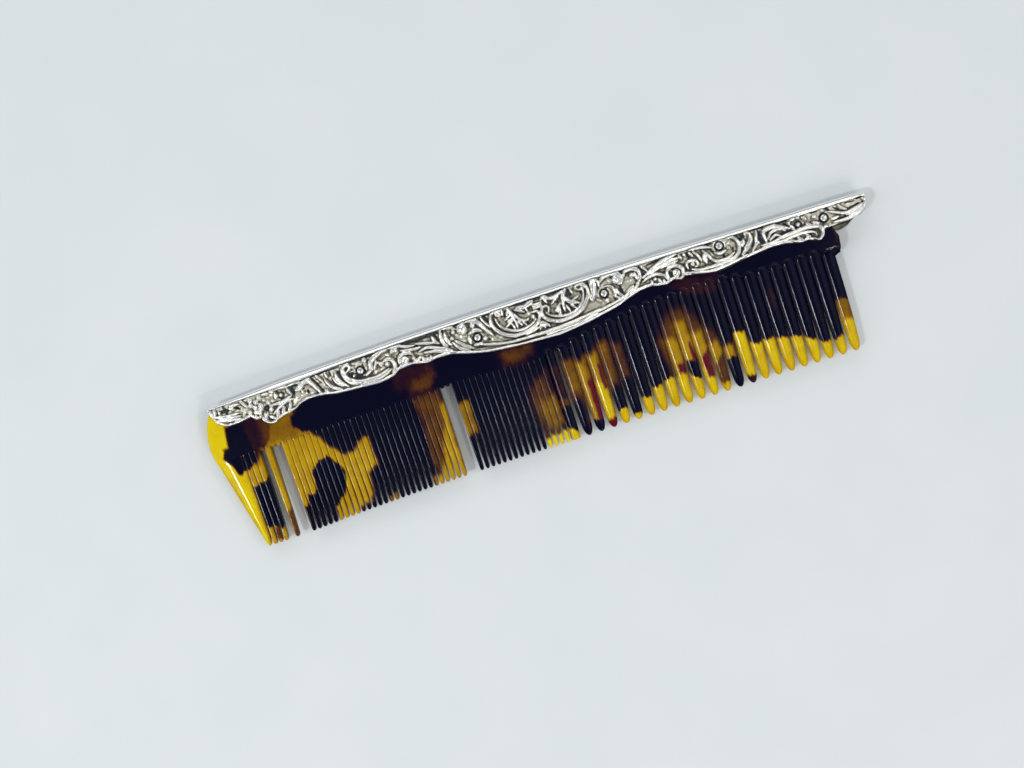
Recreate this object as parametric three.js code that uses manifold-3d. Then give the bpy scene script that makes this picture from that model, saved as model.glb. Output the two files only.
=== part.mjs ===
// Dressing-table comb: a moulded tortoiseshell-coloured comb held in a stamped silver mount.
// All sizes are in millimetres. While it is drawn, x runs along the comb from the left end of the
// mount, y = 0 joins the mount's two end tips, the teeth point to -y, and z = 0 is the flat outer
// face of the back shell. The finished group is moved so that its origin is the middle of its base.
import * as THREE from 'three';
import * as BufferGeometryUtils from 'three/addons/utils/BufferGeometryUtils.js';
import Module from 'manifold-3d';

const wasm = await Module();
wasm.setup();

// ---------------------------------------------------------------- driving dimensions

const mountThickness = 6.4; // over both silver shells
const sheetThickness = 0.5; // silver sheet of a shell
const shoulder = 0.6; // how far a shell's flat face stays inside its outline
const shoulderDrop = 0.8; // how far the shell's rim lies below its flat face
const gap = 0.1; // clearance between pieces that touch
const seamGap = 0.3; // slot between the two shells along the spine

const plateThickness = 3.6; // comb where the mount holds it
const tipThickness = 1.9; // comb at the tooth tips
const taperStart = -7.5; // y where the comb starts to thin
const combLowest = -38.4; // y of the guard tooth's tip

const finePitch = 1.56;
const fineFirst = 5.8; // x of the first fine tooth
const finePositions = 53;
const fineMissing = [3, 5, 6, 35, 36]; // broken fine teeth, counted from 0
const fineWidths = { root: 0.95, tip: 0.6 };

const coarsePitch = 3.362;
const coarseFirst = 92.6; // x of the first coarse tooth
const coarseTeeth = 22;
const coarseWidths = { root: 2.9, tip: 2.3 };

const transition = { x: 89, width: 2.6 }; // plain tooth between the fine and the coarse teeth

const pinPlaces = [[15.5, -3.9], [41.8, -2.2], [73.1, -3.5], [107, -2.9], [137.9, -0.6], [164.5, -2.1]];
const pinRadius = 0.5;
const pinHead = { radius: 0.95, height: 0.4, ringRadius: 1.3, ringDepth: 0.25 };
const sunkPins = [0]; // pins whose head has worn away

const midHeight = mountThickness / 2;
const bedThickness = midHeight - plateThickness / 2 - sheetThickness - 2 * gap;

// Lines that run along the comb, as [x, y] points.
const spineLine = [[-0.3, 0], [1, 0.9], [20, 1.8], [51, 2.5], [83, 2.7], [101, 2.7], [121, 2.5],
  [150, 1.8], [164, 1.6], [174, 1.2], [176.9, 0]];
const stripLine = [[1.2, 0.2], [13, 0.3], [26, 0.3], [36, 0.9], [57, 1.4], [86, 1.6], [106, 1.6],
  [116, 1.2], [135, 1], [150, 0.7], [159, 0.3], [175.2, 0.2]];
const scallopLine = [[0.4, -0.9], [0.9, -2], [2.1, -4.1], [4.7, -5.4], [7.8, -5.4], [10.9, -4.9],
  [12.6, -6], [15.4, -8], [17, -8.2], [19.5, -7.1], [23.1, -6.4], [27, -5.1], [34, -6], [45, -6.9],
  [50, -6.1], [53.5, -5.1], [59, -5.7], [65.5, -5.6], [71.5, -7.3], [81.5, -8.8], [91, -9.4],
  [101, -8.7], [109, -7.2], [115.9, -5.2], [119, -5], [126, -5.7], [130.4, -5.7], [135, -6.7],
  [142, -5.9], [149.7, -5.1], [156, -5.9], [159.3, -6.3], [161.7, -7.1], [163.6, -6.3], [165, -4.8],
  [170.7, -4.2], [173.5, -3.7], [175.4, -2.5], [176.1, -0.9]];
const backEndLobe = [[165, -4.8], [166.6, -5], [168.9, -6.4], [171.8, -5.5], [173.5, -4.2]];
const guardLine = [[0.2, -1.1], [-1.3, -4.1], [-2.3, -9.2], [-1.9, -13.2], [0, -22.4], [3, -35.6],
  [3.5, -37.6], [4, -38.4], [4.6, -38.1], [4.9, -36.6], [5, -25], [5, -13.2]];
const breakLine = [[166.2, -0.5], [165.9, -4.9], [166.9, -7.4], [166.6, -10.3], [166.4, -11.4],
  [164.9, -12]];
const rootLine = [[5, -13.2], [41, -12.9], [63, -12.2], [86, -13], [91, -12.9], [97, -11.6],
  [107, -10.1], [111, -9.2], [118, -8.6], [130, -8.1], [136, -8.7], [140, -10.1], [165, -10.3]];
const tipLine = [[4, -38.4], [17, -38.1], [31, -37.3], [46, -36.8], [58, -36.5], [76, -36.3],
  [116, -36.2], [163, -36.4]];

// ---------------------------------------------------------------- helpers

function heightAt(line, x) {
  const next = Math.max(1, line.findIndex((point) => point[0] >= x));
  const [x0, y0] = line[next - 1];
  const [x1, y1] = line[next];
  return y0 + ((y1 - y0) * (x - x0)) / (x1 - x0);
}

function toVectors(points) {
  return points.map(([x, y]) => new THREE.Vector2(x, y));
}

function smooth(points, stepsPerPoint) {
  const curve = new THREE.SplineCurve(toVectors(points));
  return curve.getPoints(stepsPerPoint * (points.length - 1));
}

function toSolid(geometry) {
  const bare = geometry.index ? geometry.toNonIndexed() : geometry.clone();
  bare.deleteAttribute('normal');
  bare.deleteAttribute('uv');
  const merged = BufferGeometryUtils.mergeVertices(bare, 1e-4);
  const vertProperties = new Float32Array(merged.attributes.position.array);
  const triVerts = new Uint32Array(merged.index.array);
  return new wasm.Manifold(new wasm.Mesh({ numProp: 3, vertProperties, triVerts }));
}

function toGeometry(solid) {
  const { vertProperties, triVerts } = solid.getMesh();
  const geometry = new THREE.BufferGeometry();
  geometry.setAttribute('position', new THREE.BufferAttribute(vertProperties, 3));
  geometry.setIndex(new THREE.BufferAttribute(triVerts, 1));
  geometry.computeVertexNormals();
  return geometry;
}

function slab(points, bottom, top) {
  const geometry = new THREE.ExtrudeGeometry(new THREE.Shape(points), {
    depth: top - bottom,
    bevelEnabled: false,
  });
  return geometry.translate(0, 0, bottom);
}

// A slab whose widest outline lies `inset` inside the given points, with rims chamfered by `chamfer`.
function pillow(points, bottom, top, inset, chamfer) {
  const geometry = new THREE.ExtrudeGeometry(new THREE.Shape(points), {
    depth: top - bottom - 2 * shoulderDrop,
    bevelThickness: shoulderDrop,
    bevelSize: chamfer,
    bevelOffset: -chamfer - inset,
    bevelSegments: 1,
  });
  return geometry.translate(0, 0, bottom + shoulderDrop);
}

function box(x0, x1, y0, y1, z0, z1) {
  const geometry = new THREE.BoxGeometry(x1 - x0, y1 - y0, z1 - z0);
  return geometry.translate((x0 + x1) / 2, (y0 + y1) / 2, (z0 + z1) / 2);
}

function pinHole([x, y], radius, bottom, top) {
  const geometry = new THREE.CylinderGeometry(radius, radius, top - bottom, 16);
  return geometry.rotateX(Math.PI / 2).translate(x, y, (bottom + top) / 2);
}

function drilled(solid) {
  return pinPlaces.reduce(
    (body, place) => body.subtract(toSolid(pinHole(place, pinRadius + gap, -1, mountThickness + 1))),
    solid,
  );
}

// ---------------------------------------------------------------- comb

function toothOutline({ x, tip, root, widths, square }) {
  const shoulderLength = widths.tip / (square ? 8 : 1.4);
  const points = [new THREE.Vector2(x + widths.root / 2, root)];
  const arcSteps = widths.tip > 1 ? 6 : 3;
  for (let step = 0; step <= arcSteps; step += 1) {
    const angle = (Math.PI * step) / arcSteps;
    const across = (widths.tip / 2) * Math.cos(angle);
    const down = shoulderLength * (1 - Math.sin(angle));
    points.push(new THREE.Vector2(x + across, tip + down));
  }
  points.push(new THREE.Vector2(x - widths.root / 2, root));
  return points;
}

function fineTeeth() {
  const teeth = [];
  for (let place = 0; place < finePositions; place += 1) {
    if (fineMissing.includes(place)) continue;
    teeth.push({ x: fineFirst + place * finePitch, widths: fineWidths });
  }
  return teeth;
}

function coarseRow() {
  const teeth = [];
  for (let place = 0; place < coarseTeeth; place += 1) {
    teeth.push({ x: coarseFirst + place * coarsePitch, widths: coarseWidths });
  }
  return teeth;
}

function combOutline() {
  const plain = { root: transition.width, tip: transition.width };
  const teeth = [...fineTeeth(), { x: transition.x, widths: plain, square: true }, ...coarseRow()];
  const toothPoints = teeth.reverse().flatMap((tooth) => toothOutline({
    ...tooth,
    tip: heightAt(tipLine, tooth.x),
    root: heightAt(rootLine, tooth.x),
  }));
  const hiddenEdge = stripLine
    .filter(([x]) => x > 1 && x < 164)
    .map(([x, y]) => [x, y - sheetThickness - 2 * gap]);
  return [
    ...toVectors(guardLine).reverse(),
    ...toVectors(hiddenEdge),
    ...toVectors(breakLine),
    ...toothPoints,
  ];
}

// Side view of the comb: a flat plate that thins towards the tooth tips.
function combProfile(xFrom, xTo) {
  const top = 10;
  const reach = combLowest - 1;
  const profile = toVectors([
    [top, -plateThickness / 2], [top, plateThickness / 2],
    [taperStart, plateThickness / 2], [reach, tipThickness / 2],
    [reach, -tipThickness / 2], [taperStart, -plateThickness / 2],
  ]);
  const geometry = new THREE.ExtrudeGeometry(new THREE.Shape(profile), {
    depth: xTo - xFrom,
    bevelEnabled: false,
  });
  // The profile's x becomes y, its y becomes z, and it is swept along x.
  const axes = new THREE.Matrix4().makeBasis(
    new THREE.Vector3(0, 1, 0),
    new THREE.Vector3(0, 0, 1),
    new THREE.Vector3(1, 0, 0),
  );
  return geometry.applyMatrix4(axes).translate(xFrom, 0, midHeight);
}

function makeComb() {
  const outline = toSolid(slab(combOutline(), 0, mountThickness));
  return toGeometry(drilled(outline.intersect(toSolid(combProfile(-5, 180)))));
}

// ---------------------------------------------------------------- silver mount

function shellOutline(lowerLine) {
  const upper = smooth([...stripLine].reverse(), 2);
  return [...smooth(lowerLine, 2), ...upper];
}

function makeShell(lowerLine, isFront) {
  const outline = shellOutline(lowerLine);
  const outside = toSolid(pillow(outline, 0, mountThickness, 0, shoulder));
  const cavityTop = mountThickness - sheetThickness;
  const inside = toSolid(pillow(outline, sheetThickness, cavityTop, sheetThickness, 0));
  const mouthHalf = plateThickness / 2 + gap;
  const mouth = toSolid(box(-10, 190, -20, -0.4, midHeight - mouthHalf, midHeight + mouthHalf));
  const halfFrom = isFront ? midHeight + seamGap / 2 : -1;
  const halfTo = isFront ? mountThickness + 1 : midHeight - seamGap / 2;
  const half = toSolid(box(-10, 190, -20, 10, halfFrom, halfTo));
  let shell = drilled(outside.subtract(inside).subtract(mouth).intersect(half));
  if (isFront) {
    pinPlaces.forEach((place) => {
      const ringBottom = mountThickness - pinHead.ringDepth;
      const ring = pinHole(place, pinHead.ringRadius, ringBottom, mountThickness + 1);
      shell = shell.subtract(toSolid(ring));
    });
  }
  return toGeometry(shell);
}

function makeBed(lowerLine, isFront) {
  const outer = pillow(shellOutline(lowerLine), 0, mountThickness, sheetThickness + gap, 0);
  const bottom = isFront ? midHeight + plateThickness / 2 + gap : sheetThickness + gap;
  const layer = toSolid(box(2, 163, -20, 10, bottom, bottom + bedThickness));
  return toGeometry(drilled(toSolid(outer).intersect(layer)));
}

function makeStrip() {
  const inner = smooth(stripLine.map(([x, y]) => [x, y + gap]), 2);
  const outer = smooth([...spineLine].reverse(), 2);
  return slab([...inner, ...outer], shoulderDrop, mountThickness - shoulderDrop);
}

function makePin(isSunk) {
  const headBase = mountThickness - pinHead.ringDepth + gap / 2;
  const shankTop = isSunk ? mountThickness - sheetThickness : headBase;
  const profile = [[0, gap], [pinRadius, gap], [pinRadius, shankTop]];
  if (isSunk) {
    profile.push([0, shankTop]);
  } else {
    profile.push([pinHead.radius, headBase]);
    for (let step = 0; step < 4; step += 1) {
      const angle = (Math.PI / 2) * (step / 4);
      const rise = (pinHead.height / 2) * (1 + Math.sin(angle));
      profile.push([pinHead.radius * Math.cos(angle), headBase + rise]);
    }
    profile.push([0, headBase + pinHead.height]);
  }
  return new THREE.LatheGeometry(toVectors(profile), 16).rotateX(Math.PI / 2);
}

// ---------------------------------------------------------------- assembly

const tortoiseshell = new THREE.MeshStandardMaterial({ color: 0x2a1608, roughness: 0.25, metalness: 0 });
const silver = new THREE.MeshStandardMaterial({ color: 0xc9c6ba, roughness: 0.3, metalness: 1 });
const tarnished = new THREE.MeshStandardMaterial({ color: 0xa8a496, roughness: 0.4, metalness: 1 });
const cement = new THREE.MeshStandardMaterial({ color: 0x3b2a1c, roughness: 0.9, metalness: 0 });

const comb = new THREE.Group();

function addPiece(name, geometry, material) {
  const mesh = new THREE.Mesh(geometry, material);
  mesh.name = name;
  comb.add(mesh);
  return mesh;
}

const backLine = [
  ...scallopLine.filter(([x]) => x < 165),
  ...backEndLobe,
  ...scallopLine.filter(([x]) => x > 174),
];

addPiece('comb', makeComb(), tortoiseshell);
addPiece('front_shell', makeShell(scallopLine, true), silver);
addPiece('back_shell', makeShell(backLine, false), silver);
addPiece('front_bed', makeBed(scallopLine, true), cement);
addPiece('back_bed', makeBed(scallopLine, false), cement);
addPiece('spine_strip', makeStrip(), silver);
pinPlaces.forEach(([x, y], place) => {
  const pin = addPiece(`pin_${place + 1}`, makePin(sunkPins.includes(place)), tarnished);
  pin.position.set(x, y, 0);
});

// The origin goes to the middle of the base.
const extent = new THREE.Box3().setFromObject(comb, true);
const middle = extent.getCenter(new THREE.Vector3());
comb.position.set(-middle.x, -middle.y, -extent.min.z);

export default comb;
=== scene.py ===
"""Looks of a dressing-table comb: tortoiseshell-coloured teeth in a stamped silver mount.

Lengths are in millimetres along the comb: x from the left end of the mount to the right, y towards
the spine (the teeth point to -y) and z up from the table. `to_frame` turns them into the CAD frame
in metres.
"""

import math

import bmesh
import bpy
import numpy as np
from mathutils import Matrix, Vector


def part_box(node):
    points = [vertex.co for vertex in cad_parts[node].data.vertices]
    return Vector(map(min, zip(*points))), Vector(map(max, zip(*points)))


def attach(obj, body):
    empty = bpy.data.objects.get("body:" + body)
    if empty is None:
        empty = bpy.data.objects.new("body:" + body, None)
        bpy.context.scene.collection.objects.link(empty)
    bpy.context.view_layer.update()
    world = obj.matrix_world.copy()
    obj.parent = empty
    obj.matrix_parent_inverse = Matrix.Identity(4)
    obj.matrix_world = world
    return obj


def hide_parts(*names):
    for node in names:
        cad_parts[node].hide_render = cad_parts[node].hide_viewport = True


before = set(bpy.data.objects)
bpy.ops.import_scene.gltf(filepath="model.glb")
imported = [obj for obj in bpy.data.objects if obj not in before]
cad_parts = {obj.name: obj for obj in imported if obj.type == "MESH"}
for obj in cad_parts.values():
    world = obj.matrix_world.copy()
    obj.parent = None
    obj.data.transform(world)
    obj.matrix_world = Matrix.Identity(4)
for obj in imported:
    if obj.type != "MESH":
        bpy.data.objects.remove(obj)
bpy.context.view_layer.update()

MM = 0.001
FAR = 99.0

# ---------------------------------------------------------------- driving dimensions

MIDDLE = 3.2  # height of the comb's middle plane
PLATE_HALF = 1.8  # half the comb's thickness where the mount holds it
TIP_HALF = 0.95  # half its thickness at the tooth tips
TAPER_START = -7.5  # the comb thins from here to the tips
TAPER_END = -39.4

RIM_HEIGHT = 1.86  # heights of the silver, over the middle plane
FLOOR_HEIGHT = 2.22
TALLEST = 3.32
SEAM_HALF = 0.15  # half the gap between the two shells under the spine's band
SHEET = 0.3  # thickness of the silver
THINNEST = 0.1  # and under its deepest hollows
RELIEF_ENDS = (0.5, 175.6)
COLUMN_STEP = 0.13
RELIEF_ROWS = 84
EDGE_ROUNDING = 0.36  # width of the rounded edge of a shell
CREST = 0.1  # depth over which the tallest forms level off
DEEPEST = 0.3  # how far a pocket sinks into the ground
PIT_DEPTH = 0.28  # and the pit round a pin
FINE_UNEVENNESS = 0.07  # of the ground, before it is blurred
BROAD_UNEVENNESS = 0.35
FULLNESS = 1.45  # how much wider a raised form is than its half width as drawn
PROUDNESS = 1.12  # how much taller it is than its rise as drawn
RIM_INSET = 0.42  # from the scallops to the middle of their rolled edge
LIP = 0.12  # how much smaller the inner face is than the outer one
SEAM_LIP = 0.25
INNER_PAINTED_SHADE = 0.8  # how dark the unseen inner faces are painted, as shade under the sheet
BAND_ENDS = (0.2, 175.95)
BAND_HALF = 2.4  # half the thickness of the band along the spine
BAND_INSET = 0.06  # from the shells to the band
BAND_THINNEST = 0.05
BAND_HOLLOW = 0.12  # how dark the band and the pins are painted, from 0 to 1
HEAD_HOLLOW = 0.2
STUMP_HOLLOW = 0.95
BED_ENDS = (2, 163)
BED_STRIDE = 6  # the cement follows every sixth column and row of the relief
BED_MARGIN = 4  # rows
BED_CLEARANCE = 0.04  # between the cement and the shell
BED_FLOOR = PLATE_HALF + 0.02
BED_TOP = PLATE_HALF + 0.03  # the lowest that the cement's outer face lies

FINE_PITCH = 1.56
FINE_FIRST = 5.8
FINE_POSITIONS = 53
FINE_MISSING = (3, 5, 6, 35, 36)
COARSE_PITCH = 3.362
COARSE_FIRST = 92.6
COARSE_TEETH = 22

# How each kind of tooth is shaped: widths at root and point, length of the rounded nose, points along and
# across it, height of the arch at its root, length of the bevel under it, and how its crown is hollowed.
FINE = {"root": 1.46, "point": 0.95, "nose": 0.8, "rows": 40, "steps": 9, "arch": 0.25, "bevel": 0.4,
        "scoop": 0.04, "fall": 0.13, "curve": 6}
COARSE = {"root": 3.28, "point": 2.55, "nose": 2.8, "rows": 44, "steps": 21, "arch": 1.3, "bevel": 0.6,
          "scoop": 0.32, "fall": 0.6, "curve": 2.2}
TRANSITION = {**COARSE, "x": 89, "root": 2.6, "point": 2.5, "nose": 0.5}
GUARD = {**COARSE, "x": 3.0, "root": 3.7, "point": 0.9, "tip": -38.4, "nose": 1.8, "arch": 0, "scoop": 0,
         "fall": 0.7, "bevel": 2}
LAST_ARCH = 0.6  # the last tooth has a lower arch, beside the break
STUMP = 0.9  # length of a broken fine tooth
TIP_EDGE = 0.35  # share of the thickness that is left at the very tip
ROOT_FILLET = ((0.06, 0.55), (0.16, 0.85), (0.3, 1))  # drop below the root, share of the way to the tooth
PLATE_INSET = 0.7  # from the shells' upper edge down to the plate's, inside the mount
PLATE_ROWS = 8
ARCH_ROWS = 12
ARCH_REACH = 1.8

PIN_PLACES = ((15.5, -3.9), (41.8, -2.2), (73.1, -3.5), (107, -2.9), (137.9, -0.6), (164.5, -2.1))
PIN_HEAD = (0.92, 0.95)  # radius and rise of a whole head
PIN_STUMP = (0.45, 0.3)  # and of the worn first one
PIN_PROFILE = ((0.98, 0), (1, 0.35), (0.96, 0.6), (0.84, 0.8), (0.6, 0.94), (0.3, 0.99))  # shares of both
PIN_SINK = 0.5  # how far the heads start below the ground of the relief
PIN_SIDES = 32
HEAD_PIT = 1.3  # radius of the pit round a whole head
STUMP_PIT = 0.75

CAMERA_PLACE = (97.83, -2.42, 292.1)
CAMERA_TARGET = (77.6, -17.6, 3.2)
CAMERA_ROLL = 17.995  # degrees
CAMERA_LENS = 39.71
TABLE_HALF = 3.0  # metres
TABLE_GAP = 0.00005

SPINE_LINE = (
    (-0.3, 0), (1, 0.9), (20, 1.8), (51, 2.5), (83, 2.7), (101, 2.7), (121, 2.5), (150, 1.8), (164, 1.6),
    (172, 1.4), (174.3, 1.2), (175.3, 0.85), (175.8, 0.4), (176, 0),
)
STRIP_LINE = (
    (0.5, 0), (1.2, 0.2), (13, 0.3), (26, 0.3), (36, 0.9), (57, 1.4), (86, 1.6), (106, 1.6), (116, 1.2),
    (135, 1), (150, 0.7), (159, 0.3), (174.6, 0.2), (175.6, 0),
)
SCALLOP_LINE = (
    (0.5, -0.1), (0.9, -1.6), (2.1, -4.1), (4.7, -5.4), (7.8, -5.4), (10.9, -4.9), (12.2, -6.1),
    (13.6, -6), (13.9, -7.1), (15.4, -8.1), (17, -8.3), (18, -7.6), (19.5, -7.1), (21.1, -7), (23.1, -6.4),
    (24.7, -5.5), (27.2, -5.1), (31.3, -5.4), (34.3, -6.1), (41.4, -6.6), (45.4, -6.9), (47.5, -6.7),
    (50, -6.2), (51.5, -5.2), (55, -5), (59, -5.8), (61.5, -5.4), (65.5, -5.6), (69.5, -6.8), (74.5, -8),
    (81.5, -8.8), (93.3, -9.5), (101.2, -8.7), (109, -7.3), (112.9, -6), (115.9, -5.2), (118.8, -5),
    (120.2, -5.4), (122.7, -5.8), (124.6, -5.2), (126.6, -5.8), (128, -5.2), (130.4, -5.7), (135.3, -6.7),
    (138.2, -6.5), (142, -5.9), (149.7, -5.1), (153.5, -5.3), (157.9, -6.4), (159.3, -6.2), (161.2, -7),
    (162.2, -7.3), (163.6, -6.5), (164, -4.9), (165.9, -4.7), (171, -4.5), (173.5, -4.1), (174.7, -3.3),
    (175.3, -2.2), (175.6, -0.2),
)
BACK_LOBE = ((165.2, -4.9), (166.4, -6.1), (168.5, -6.3), (170.5, -5.8), (171.7, -4.9), (173.5, -4.1))
GUARD_EDGE = (
    (0.2, -1.1), (-1.3, -4.1), (-2.3, -9.2), (-1.9, -13.2), (0, -22.4), (3, -35.6), (3.5, -37.6),
    (4, -38.4),
)
GUARD_INNER_EDGE = ((4.95, -13.4), (4.95, -25), (4.9, -36.6), (4.75, -37.6), (4.5, -38.1), (4.05, -38.4))
BREAK_EDGE = ((166.2, -0.5), (165.9, -4.9), (166.9, -7.4), (166.6, -10.3), (166.4, -11.4), (164.9, -12))
BREAK_FOOT = ((164.8, -12.1), (164.7, -12.2))
ROOT_LINE = (
    (5, -13.2), (41, -12.9), (63, -12.2), (86, -13), (91, -12.9), (97, -11.6), (107, -10.1), (111, -9.2),
    (118, -8.9), (130, -8.6), (136, -8.9), (140, -10.1), (165, -10.3),
)
TIP_LINE = (
    (4, -38.4), (17, -38.1), (31, -37.3), (46, -36.8), (58, -36.5), (76, -36.3), (116, -36.2),
    (163, -36.4),
)

# ---------------------------------------------------------------- helpers

pin_low, pin_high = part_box("pin_2")
ORIGIN = (np.array(pin_low + pin_high) / 2 / MM - (*PIN_PLACES[1], 0))[:2]


def to_frame(points):
    """Points in millimetres along the comb, as metres in the CAD frame."""
    moved = np.array(points, float).reshape(-1, 3)
    moved[:, :2] += ORIGIN
    return moved * MM


def at(line, x):
    """The y of a line that runs along the comb, at x."""
    xs, ys = zip(*line)
    return np.interp(x, xs, ys)


def along_y(line, y):
    """The x of a line that runs down the comb, at y."""
    xs, ys = zip(*line)
    return np.interp(-np.asarray(y), [-value for value in ys], xs)


def curved(points, steps=4):
    """A smooth line through the points."""
    knots = np.array([points[0], *points, points[-1]], float)
    if len(points) < 3:
        return knots[1:-1]
    made = []
    for before, start, end, after in zip(knots, knots[1:], knots[2:], knots[3:]):
        for share in np.arange(steps) / steps:
            pull = 2 * start + (end - before) * share
            pull += (2 * before - 5 * start + 4 * end - after) * share**2
            pull += (3 * start - before - 3 * end + after) * share**3
            made.append(pull / 2)
    made.append(knots[-1])
    return np.array(made)


def blurred(field, reach):
    """The field averaged over `reach` cells to every side."""
    for axis in (0, 1):
        padded = np.concatenate([np.repeat(field.take([0], axis), reach + 1, axis), field,
                                 np.repeat(field.take([-1], axis), reach, axis)], axis)
        total = np.cumsum(padded, axis)
        size = field.shape[axis]
        upper = total.take(range(2 * reach + 1, 2 * reach + 1 + size), axis)
        field = (upper - total.take(range(size), axis)) / (2 * reach + 1)
    return field


def eased(share):
    """A share from 0 to 1 that starts and ends slowly."""
    share = np.clip(share, 0, 1)
    return share * share * (3 - 2 * share)


def add_object(name, points, faces, material, replaced, values=None):
    """A smooth piece in place of a CAD node, with the vertex values that its material reads."""
    mesh = bpy.data.meshes.new(name)
    mesh.from_pydata(to_frame(points).tolist(), [], faces)
    for label, numbers in (values or {}).items():
        attribute = mesh.attributes.new(label, "FLOAT", "POINT")
        attribute.data.foreach_set("value", np.asarray(numbers, np.float32).ravel())
    mesh.materials.append(material)
    tidy = bmesh.new()
    tidy.from_mesh(mesh)
    bmesh.ops.remove_doubles(tidy, verts=tidy.verts, dist=1e-3 * MM)
    loose = [vertex for vertex in tidy.verts if not vertex.link_faces]
    bmesh.ops.delete(tidy, geom=loose, context="VERTS")
    bmesh.ops.recalc_face_normals(tidy, faces=tidy.faces)
    tidy.to_mesh(mesh)
    tidy.free()
    mesh.shade_smooth()
    piece = bpy.data.objects.new(name, mesh)
    bpy.context.scene.collection.objects.link(piece)
    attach(piece, "root")
    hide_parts(replaced)


# ---------------------------------------------------------------- materials


class Shader:
    """A material whose nodes are added one by one; each method returns the new node's result."""

    def __init__(self, name):
        self.material = bpy.data.materials.new(name)
        self.material.use_nodes = True
        self.tree = self.material.node_tree
        self.surface = self.tree.nodes["Principled BSDF"]

    def add(self, kind, inputs=None, **settings):
        node = self.tree.nodes.new("ShaderNode" + kind)
        for name, value in settings.items():
            setattr(node, name, value)
        for name, value in (inputs or {}).items():
            self.feed(node.inputs[name], value)
        return node

    def feed(self, socket, value):
        if isinstance(value, bpy.types.NodeSocket):
            self.tree.links.new(value, socket)
        else:
            socket.default_value = value

    def set(self, **values):
        for name, value in values.items():
            self.feed(self.surface.inputs[name.replace("_", " ")], value)

    def value(self, name):
        return self.add("Attribute", attribute_name=name).outputs["Fac"]

    def noise(self, scale, detail=4, roughness=0.5):
        place = self.add("TexCoord").outputs["Object"]
        inputs = {"Scale": scale, "Detail": detail, "Roughness": roughness, "Vector": place}
        return self.add("TexNoise", inputs).outputs["Fac"]

    def maths(self, operation, first, second=0.0, clamp=False):
        return self.add("Math", {0: first, 1: second}, operation=operation, use_clamp=clamp).outputs[0]

    def spread(self, value, low, high, to_low=0.0, to_high=1.0):
        inputs = {"Value": value, "From Min": low, "From Max": high, "To Min": to_low, "To Max": to_high}
        return self.add("MapRange", inputs).outputs[0]

    def ramp(self, value, stops):
        node = self.add("ValToRGB", {"Fac": value})
        elements = node.color_ramp.elements
        elements[0].position, elements[0].color = stops[0][0], (*stops[0][1], 1)
        elements[1].position, elements[1].color = stops[-1][0], (*stops[-1][1], 1)
        for position, colour in stops[1:-1]:
            elements.new(position).color = (*colour, 1)
        return node.outputs["Color"]

    def mix(self, share, first, second):
        node = self.add("Mix", data_type="RGBA")
        colours = [socket for socket in node.inputs if socket.type == "RGBA"]
        self.feed(node.inputs[0], share)
        for socket, colour in zip(colours, (first, second)):
            self.feed(socket, colour)
        return [socket for socket in node.outputs if socket.type == "RGBA"][0]

    def bump(self, height, strength, distance):
        inputs = {"Height": height, "Strength": strength, "Distance": distance}
        return self.add("Bump", inputs).outputs["Normal"]


def make_silver(name, bright, dull):
    """Worn silver: bright where it stands proud, with warm tarnish and near-black painted shade in the
    hollows.
    """
    shader = Shader(name)
    hollow = shader.value("hollow")
    mottle = shader.noise(900, 5, 0.6)
    deep = shader.maths("ADD", hollow, shader.spread(mottle, 0, 1, -0.13, 0.13), clamp=True)
    # the hollow value is tarnish with painted shade; its near-black end is painted shade in the pockets
    # and pits
    colour = shader.ramp(deep, [(0.0, bright), (0.3, bright), (0.6, dull), (0.8, (0.2, 0.18, 0.13)),
                                (1.0, (0.012, 0.02, 0.03))])
    fine = shader.noise(5200, 3, 0.6)
    grain = shader.spread(fine, 0, 1, -0.05, 0.08)
    rough = shader.maths("ADD", shader.spread(deep, 0.3, 1, 0.2, 0.5), grain)
    dents = shader.maths("ADD", shader.noise(700, 2), shader.maths("MULTIPLY", fine, 0.25))
    shader.set(Base_Color=colour, Metallic=shader.spread(deep, 0.7, 1, 1, 0.55), Roughness=rough,
               Normal=shader.bump(dents, 0.25, 0.00008))
    return shader.material


def make_tortoiseshell():
    """Navy-black celluloid with brown and amber patches that let light through, and crimson spots."""
    shader = Shader("tortoiseshell")
    cloud = shader.noise(260, 5, 0.6)
    speck = shader.noise(1500, 3, 0.6)
    amber = shader.maths("ADD", shader.value("amber"), shader.spread(cloud, 0, 1, -0.16, 0.1))
    amber = shader.maths("ADD", amber, shader.spread(speck, 0, 1, -0.06, 0.04), clamp=True)
    colour = shader.ramp(amber, [(0.0, (0.0008, 0.001, 0.012)), (0.12, (0.003, 0.001, 0.014)),
                                 (0.24, (0.03, 0.006, 0.011)), (0.42, (0.12, 0.042, 0.006)),
                                 (0.56, (0.28, 0.145, 0.003)), (0.74, (0.56, 0.34, 0.001)),
                                 (0.9, (0.86, 0.67, 0.001)), (1.0, (0.86, 0.67, 0.001))])
    colour = shader.mix(shader.value("crimson"), colour, (0.12, 0.0015, 0.016, 1))
    scratches = shader.noise(2600, 3, 0.7)
    shader.set(Base_Color=colour, Roughness=shader.spread(scratches, 0, 1, 0.05, 0.16), IOR=1.5,
               Specular_IOR_Level=0.1,
               Transmission_Weight=shader.spread(amber, 0.5, 0.9, 0, 0.2),
               Subsurface_Weight=0.5, Subsurface_Radius=(1, 0.6, 0.08), Subsurface_Scale=0.0013,
               Normal=shader.bump(shader.noise(420, 3), 0.08, 0.0002))
    return shader.material


def make_cement():
    """Dry brown cement."""
    shader = Shader("cement")
    grain = shader.noise(3000, 6, 0.7)
    colour = shader.ramp(grain, [(0.3, (0.03, 0.018, 0.01)), (0.7, (0.1, 0.065, 0.035))])
    shader.set(Base_Color=colour, Roughness=0.9, Normal=shader.bump(grain, 0.5, 0.0002))
    return shader.material


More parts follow.
